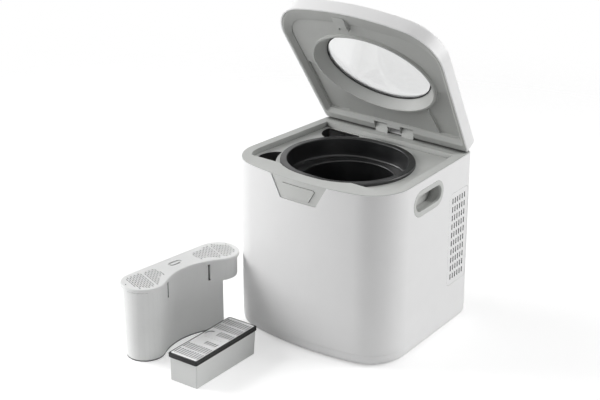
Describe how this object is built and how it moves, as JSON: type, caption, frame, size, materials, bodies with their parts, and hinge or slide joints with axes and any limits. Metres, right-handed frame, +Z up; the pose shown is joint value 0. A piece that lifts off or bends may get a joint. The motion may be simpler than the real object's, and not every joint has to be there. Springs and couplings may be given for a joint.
{
  "type": "electric food waste composter",
  "caption": "Countertop electric food waste composter with a hinged window lid, lift-out bucket, driven stirrer and vented side, beside its filter box and carbon cartridge.",
  "frame": {"origin": "centre of the base pan's flat underside, 1.5 mm above the surface that the feet stand on", "axes": "+Z up, +X to the side with the vent, -Y to the front with the button and tongue"},
  "size_m": [0.3766, 0.4902, 0.542],
  "materials": {
    "white_plastic": "smooth satin moulding",
    "grey_plastic": "fine matt moulding",
    "liner_plastic": "fine matt moulding",
    "clear_plastic": "clear polished",
    "black_rubber": "matt",
    "black_coating": "satin non-stick coating",
    "dark_plastic": "matt",
    "steel": "brushed",
    "aluminium": "cast",
    "bronze": "sintered",
    "gear_plastic": "moulded",
    "circuit_board": "lacquered board with its parts",
    "filter_plastic": "satin moulding",
    "carbon": "loose granules"
  },
  "bodies": {
    "chassis": {"base_pan": "white_plastic", "rubber_feet": "black_rubber", "outer_shell": "white_plastic", "deck_frame": "grey_plastic", "deck_tray": "grey_plastic", "handle_cup_right": "grey_plastic", "handle_cup_left": "grey_plastic", "filter_bay": "liner_plastic", "filter_clip": "dark_plastic", "cartridge_bay": "liner_plastic", "air_duct": "liner_plastic", "fan_frame": "dark_plastic", "bucket_seat": "steel", "heater_plate": "aluminium", "thermal_switch": "dark_plastic", "seat_screws": "steel", "shaft_bearings": "steel", "idler_pin": "steel", "motor": "steel", "gearbox_tray": "dark_plastic", "gearbox_cover": "dark_plastic", "gearbox_screws": "steel", "button_bracket": "dark_plastic", "button_switch": "dark_plastic", "button_spring": "steel", "hinge_pin": "steel", "lid_spring": "steel", "lid_switch": "dark_plastic", "control_board": "circuit_board", "power_board": "circuit_board", "power_inlet": "dark_plastic"},
    "lid": {"lid_shell": "white_plastic", "lid_liner": "liner_plastic", "window_pane": "clear_plastic", "window_gasket": "black_rubber", "catch_magnet": "steel"},
    "button": {"front_button": "grey_plastic"},
    "vent_cover": {"vent_grille": "white_plastic"},
    "bucket": {"bucket": "black_coating", "bucket_bush": "bronze"},
    "stirrer": {"stirrer": "steel", "driven_dog": "dark_plastic"},
    "output": {"output_shaft": "steel", "output_gear": "bronze"},
    "idler": {"idler_gear": "gear_plastic"},
    "pinion": {"motor_pinion": "steel"},
    "fan": {"fan_rotor": "dark_plastic"},
    "filter_box": {"filter_box_body": "filter_plastic", "filter_box_cover": "filter_plastic", "filter_box_latch": "filter_plastic"},
    "cartridge": {"cartridge_case": "filter_plastic", "cartridge_gasket": "black_rubber", "cartridge_cover": "filter_plastic", "carbon_fill": "carbon"}
  },
  "joints": [
    {"name": "lid_hinge", "type": "hinge", "parent": "chassis", "child": "lid", "pos_m": [0, 0.131, 0.302], "axis": [-1, 0, 0], "range_deg": [-59, 0]},
    {"name": "button_press", "type": "slide", "parent": "chassis", "child": "button", "axis": [0, 1, 0], "range_m": [0, 0.003], "stiffness_N_per_m": 600, "springref_m": -0.002, "deforming": ["button_spring"]},
    {"name": "vent_cover_pull", "type": "slide", "parent": "chassis", "child": "vent_cover", "axis": [0.998, 0.0637, 0], "range_m": [0, 0.03]},
    {"name": "bucket_lift", "type": "slide", "parent": "chassis", "child": "bucket", "axis": [0, 0, 1], "range_m": [0, 0.05]},
    {"name": "stirrer_spin", "type": "hinge", "parent": "bucket", "child": "stirrer", "pos_m": [0, -0.008, 0.15], "axis": [0, 0, 1], "continuous": true},
    {"name": "output_spin", "type": "hinge", "parent": "chassis", "child": "output", "pos_m": [0, -0.008, 0.08], "axis": [0, 0, 1], "continuous": true},
    {"name": "idler_spin", "type": "hinge", "parent": "chassis", "child": "idler", "pos_m": [0.048, -0.008, 0.08], "axis": [0, 0, 1], "continuous": true},
    {"name": "motor_spin", "type": "hinge", "parent": "chassis", "child": "pinion", "pos_m": [0.026, -0.04611, 0.07], "axis": [0, 0, 1], "continuous": true},
    {"name": "fan_spin", "type": "hinge", "parent": "chassis", "child": "fan", "pos_m": [0.08075, 0.09486, 0.1555], "axis": [0.998, 0.0637, 0], "continuous": true},
    {"name": "filter_box_lift", "type": "slide", "parent": "chassis", "child": "filter_box", "axis": [0, 0, 1], "range_m": [0, 0.15]},
    {"name": "cartridge_lift", "type": "slide", "parent": "chassis", "child": "cartridge", "axis": [0, 0, 1], "range_m": [0, 0.1]}
  ],
  "couplings": [
    {"joint": "stirrer_spin", "follows": "output_spin", "ratio": 1},
    {"joint": "idler_spin", "follows": "output_spin", "ratio": -3},
    {"joint": "motor_spin", "follows": "output_spin", "ratio": 10.2}
  ]
}
